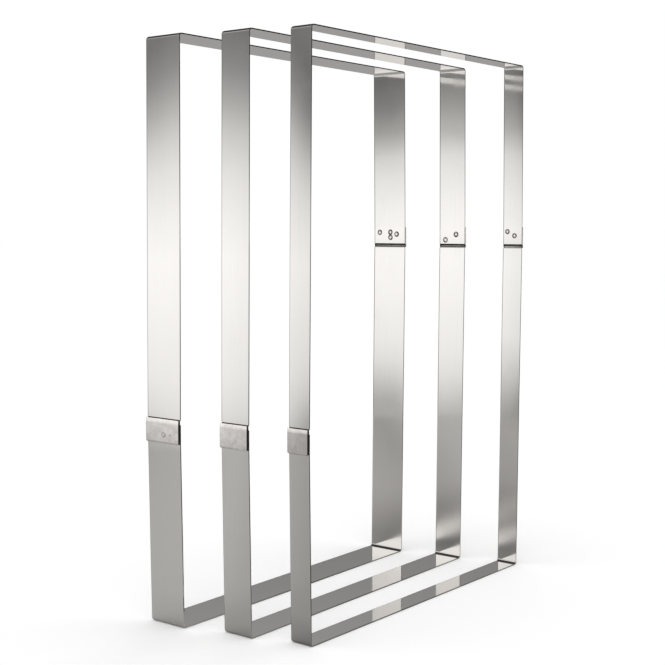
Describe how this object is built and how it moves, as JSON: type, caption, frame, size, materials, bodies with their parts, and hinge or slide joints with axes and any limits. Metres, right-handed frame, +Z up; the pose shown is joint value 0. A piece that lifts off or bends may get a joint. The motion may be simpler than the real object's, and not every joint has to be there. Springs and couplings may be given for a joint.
{
  "type": "baking frame set",
  "caption": "Rectangular stainless strip baking frames in graded depths, standing in a row; each pulls apart into plug-in halves joined by flat sleeves on its long sides.",
  "frame": {"origin": "on the surface that the frames stand on, under the middle of the whole row", "axes": "+Z up along the frames' long sides, X across a frame, +Y along the row from the shallow frame to the deep one"},
  "size_m": [0.4252, 0.1858, 0.58],
  "materials": {
    "strip_steel": "polished stainless strip",
    "sleeve_steel": "bright rolled stainless sheet"
  },
  "bodies": {
    "medium_lower": {"medium_lower_half": "strip_steel", "medium_lower_sleeve": "sleeve_steel"},
    "medium_upper": {"medium_upper_half": "strip_steel", "medium_upper_sleeve": "sleeve_steel"},
    "deep_lower": {"deep_lower_half": "strip_steel", "deep_lower_sleeve": "sleeve_steel"},
    "deep_upper": {"deep_upper_half": "strip_steel", "deep_upper_sleeve": "sleeve_steel"},
    "shallow_lower": {"shallow_lower_half": "strip_steel", "shallow_lower_sleeve": "sleeve_steel"},
    "shallow_upper": {"shallow_upper_half": "strip_steel", "shallow_upper_sleeve": "sleeve_steel"}
  },
  "joints": [
    {"name": "medium_pull_apart", "type": "slide", "parent": "medium_lower", "child": "medium_upper", "axis": [0, 0, 1], "range_m": [0, 0.06]},
    {"name": "deep_move_away", "type": "slide", "parent": "medium_lower", "child": "deep_lower", "axis": [0, 1, 0], "range_m": [0, 0.2]},
    {"name": "deep_pull_apart", "type": "slide", "parent": "deep_lower", "child": "deep_upper", "axis": [0, 0, 1], "range_m": [0, 0.06]},
    {"name": "shallow_move_away", "type": "slide", "parent": "medium_lower", "child": "shallow_lower", "axis": [0, -1, 0], "range_m": [0, 0.2]},
    {"name": "shallow_pull_apart", "type": "slide", "parent": "shallow_lower", "child": "shallow_upper", "axis": [0, 0, 1], "range_m": [0, 0.06]}
  ]
}
